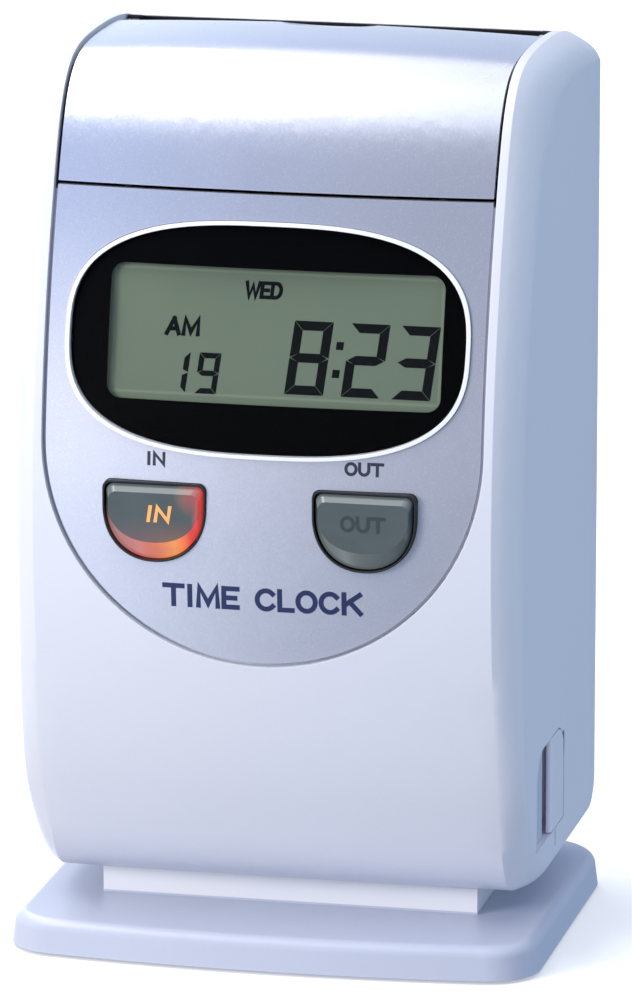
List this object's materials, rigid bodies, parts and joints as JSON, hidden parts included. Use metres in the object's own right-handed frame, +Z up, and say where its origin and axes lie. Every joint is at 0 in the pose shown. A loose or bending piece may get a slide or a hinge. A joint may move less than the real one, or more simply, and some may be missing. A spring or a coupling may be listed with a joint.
{
  "type": "punch time clock",
  "caption": "Desktop time recorder that prints on cards fed in from the top, with a round-cornered casing, hinged lid, clock display, two punch buttons, port cover and flat stand.",
  "frame": {"origin": "on the desk surface, under the middle of the casing's width and 60 mm in front of its rear face", "axes": "+Z up, -Y is the side with the display and the buttons, +X to the right seen from the front"},
  "size_m": [0.1518, 0.1242, 0.2547],
  "materials": {
    "casing_plastic": "pale lavender-white moulded casing, satin gloss",
    "silver_plastic": "metallic silver paint on plastic, fine sparkle",
    "bezel_silver": "bright silver trim",
    "lens_clear": "clear acrylic window",
    "lens_black": "black print behind the window",
    "lcd_glass": "grey-green liquid crystal display",
    "white_plastic": "white light guide",
    "pcb_green": "green circuit board",
    "black_plastic": "black moulded plastic",
    "button_plastic": "dark grey-green translucent cap",
    "led_red": "red lamp",
    "steel": "plain steel",
    "zinc_sheet": "zinc plated sheet",
    "roller_rubber": "black rubber",
    "brass": "brass",
    "grey_plastic": "grey moulded plastic",
    "ribbon_film": "inked fabric ribbon",
    "battery_wrap": "green shrink wrap",
    "chip_black": "components"
  },
  "bodies": {
    "root": {"front_casing": "casing_plastic", "rear_cover": "casing_plastic", "stand": "casing_plastic", "display_panel": "silver_plastic", "lens_bezel": "bezel_silver", "display_lens": "lens_clear", "lens_mask": "lens_black", "lcd_panel": "lcd_glass", "lcd_holder": "white_plastic", "display_board": "pcb_green", "button_surrounds": "black_plastic", "tact_switches": "black_plastic", "indicator_leds": "led_red", "switch_board": "pcb_green", "main_board": "pcb_green", "main_board_parts": "chip_black", "backup_battery": "battery_wrap", "buzzer": "black_plastic", "dc_jack": "black_plastic", "usb_socket": "steel", "port_plate": "black_plastic", "port_cover_pin": "steel", "chassis": "zinc_sheet", "card_front_plate": "zinc_sheet", "card_back_plate": "zinc_sheet", "card_chute": "black_plastic", "card_stop": "black_plastic", "platen": "roller_rubber", "card_sensor": "black_plastic", "guide_rods": "steel", "carriage_belt": "roller_rubber", "carriage_motor": "steel", "ribbon_cassette": "black_plastic", "ink_ribbon": "ribbon_film", "feed_motor": "steel", "shaft_bearings": "brass", "settings_panel": "grey_plastic", "rubber_feet": "roller_rubber", "stand_screws": "steel", "case_screws": "steel"},
    "lid": {"lid": "silver_plastic", "lid_hinge_pins": "steel"},
    "in_button": {"in_button": "button_plastic"},
    "out_button": {"out_button": "button_plastic"},
    "port_cover": {"port_cover": "casing_plastic"},
    "carriage": {"carriage": "grey_plastic", "print_head": "zinc_sheet"},
    "drive_pulley": {"drive_pulley": "grey_plastic"},
    "idler_pulley": {"idler_pulley": "grey_plastic"},
    "feed": {"feed_shaft": "steel", "feed_rollers": "roller_rubber", "feed_gear": "white_plastic"},
    "feed_pinion": {"feed_pinion": "brass"},
    "pinch": {"pinch_shaft": "steel", "pinch_rollers": "roller_rubber"},
    "ribbon_knob": {"ribbon_knob": "grey_plastic"},
    "set_key": {"set_key": "white_plastic"},
    "up_key": {"up_key": "white_plastic"},
    "down_key": {"down_key": "white_plastic"}
  },
  "joints": [
    {"name": "lid_hinge", "type": "hinge", "parent": "root", "child": "lid", "pos_m": [0, 0.0379, 0.2482], "axis": [-1, 0, 0], "range_deg": [0, 75]},
    {"name": "in_press", "type": "slide", "parent": "root", "child": "in_button", "axis": [0, 1, 0], "range_m": [0, 0.0015]},
    {"name": "out_press", "type": "slide", "parent": "root", "child": "out_button", "axis": [0, 1, 0], "range_m": [0, 0.0015]},
    {"name": "port_cover_hinge", "type": "hinge", "parent": "root", "child": "port_cover", "pos_m": [0.0708, 0.0115, 0.045], "axis": [0, 0, 1], "range_deg": [0, 95]},
    {"name": "carriage_slide", "type": "slide", "parent": "root", "child": "carriage", "axis": [1, 0, 0], "range_m": [-0.026, 0.026]},
    {"name": "drive_pulley_spin", "type": "hinge", "parent": "root", "child": "drive_pulley", "pos_m": [0.052, 0.002, 0.214], "axis": [0, 0, 1], "range_deg": [-240, 240]},
    {"name": "idler_pulley_spin", "type": "hinge", "parent": "root", "child": "idler_pulley", "pos_m": [-0.052, 0.002, 0.214], "axis": [0, 0, 1], "range_deg": [-240, 240]},
    {"name": "feed_spin", "type": "hinge", "parent": "root", "child": "feed", "pos_m": [0, 0.05175, 0.17], "axis": [1, 0, 0], "continuous": true},
    {"name": "feed_pinion_spin", "type": "hinge", "parent": "root", "child": "feed_pinion", "pos_m": [0.05, 0.04593, 0.16512], "axis": [1, 0, 0], "continuous": true},
    {"name": "pinch_spin", "type": "hinge", "parent": "root", "child": "pinch", "pos_m": [0, 0.04105, 0.17], "axis": [1, 0, 0], "continuous": true},
    {"name": "ribbon_knob_spin", "type": "hinge", "parent": "root", "child": "ribbon_knob", "pos_m": [0.04, 0.008, 0.2476], "axis": [0, 0, 1], "continuous": true},
    {"name": "set_key_press", "type": "slide", "parent": "root", "child": "set_key", "axis": [0, 0.9239, -0.3827], "range_m": [0, 0.0006]},
    {"name": "up_key_press", "type": "slide", "parent": "root", "child": "up_key", "axis": [0, 0.9239, -0.3827], "range_m": [0, 0.0006]},
    {"name": "down_key_press", "type": "slide", "parent": "root", "child": "down_key", "axis": [0, 0.9239, -0.3827], "range_m": [0, 0.0006]}
  ],
  "couplings": [
    {"joint": "drive_pulley_spin", "follows": "carriage_slide", "rad_per_m": -156.25},
    {"joint": "idler_pulley_spin", "follows": "carriage_slide", "rad_per_m": -156.25},
    {"joint": "feed_pinion_spin", "follows": "feed_spin", "ratio": -2},
    {"joint": "pinch_spin", "follows": "feed_spin", "ratio": -1}
  ]
}
